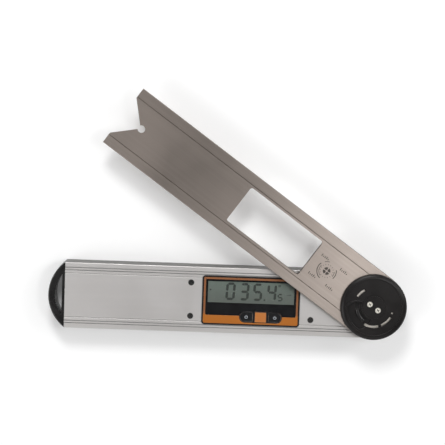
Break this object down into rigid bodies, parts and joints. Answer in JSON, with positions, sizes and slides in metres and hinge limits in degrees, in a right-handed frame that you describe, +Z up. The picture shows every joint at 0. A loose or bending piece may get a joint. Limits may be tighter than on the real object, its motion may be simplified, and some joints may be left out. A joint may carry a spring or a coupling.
{
  "type": "digital angle finder",
  "caption": "Digital angle finder: a hollow rail with a display and buttons, a windowed blade on a round hub, a lock tab and a hanging slot.",
  "frame": {"origin": "the pivot axis where it meets the plane that the tool's flat underside rests on", "axes": "+Z up through the pivot axis and out of the display face, -X along the rail towards its end cap, +Y towards the side that the blade opens to"},
  "size_m": [0.2832, 0.1917, 0.0319],
  "materials": {
    "rail_aluminium": "satin anodised, silver grey",
    "blade_aluminium": "brushed and anodised, warm grey",
    "black_plastic": "satin, black",
    "black_gloss": "glossy, black",
    "orange_plastic": "glossy, orange",
    "white_plastic": "slippery, natural white",
    "rubber": "matte, black",
    "clear_window": "clear, polished",
    "lcd_glass": "grey green, matte polariser",
    "board": "green lacquer over glass fibre",
    "flex_film": "amber film",
    "lead_sheath": "soft, red",
    "screw_steel": "bright, zinc plated",
    "ring_steel": "bright, brushed",
    "black_steel": "blackened",
    "brass": "plain"
  },
  "bodies": {
    "rail_body": {"rail": "rail_aluminium", "end_cap": "black_plastic", "hub_housing": "black_plastic", "pivot_bush": "brass", "glide_ring": "white_plastic", "bottom_cover": "black_plastic", "housing_screws": "screw_steel", "display_seal": "rubber", "display_bezel": "orange_plastic", "display_window": "clear_window", "display_mask": "black_gloss", "lcd_panel": "lcd_glass", "lcd_connector": "rubber", "button_surround": "black_gloss", "display_carrier": "black_plastic", "carrier_screws": "black_steel", "circuit_board": "board", "key_switches": "screw_steel", "angle_stator": "board", "stator_flex": "flex_film", "battery_holder": "black_plastic", "coin_cell": "screw_steel", "cell_contact": "brass", "battery_leads": "lead_sheath", "battery_door": "black_plastic"},
    "zero_key": {"zero_button": "black_gloss"},
    "power_key": {"power_button": "black_gloss"},
    "blade_body": {"blade": "blade_aluminium", "blade_hub": "black_plastic", "blade_screws": "screw_steel", "angle_rotor": "board", "pivot_shaft": "screw_steel", "wave_washer": "brass", "shaft_nut": "screw_steel", "hub_cap": "black_plastic", "cap_plate": "black_plastic", "cap_screws": "screw_steel"},
    "lock_body": {"lock_ring": "ring_steel", "lock_tab": "black_plastic"}
  },
  "joints": [
    {"name": "blade_turn", "type": "hinge", "parent": "rail_body", "child": "blade_body", "pos_m": [0, 0, 0], "axis": [0, 0, -1], "range_deg": [-35.45, 189.55]},
    {"name": "lock_slide", "type": "hinge", "parent": "blade_body", "child": "lock_body", "pos_m": [0, 0, 0], "axis": [0, 0, -1], "range_deg": [0, 22]},
    {"name": "zero_press", "type": "slide", "parent": "rail_body", "child": "zero_key", "axis": [0, 0, -1], "range_m": [0, 0.0005], "stiffness_N_per_m": 2000},
    {"name": "power_press", "type": "slide", "parent": "rail_body", "child": "power_key", "axis": [0, 0, -1], "range_m": [0, 0.0005], "stiffness_N_per_m": 2000}
  ]
}
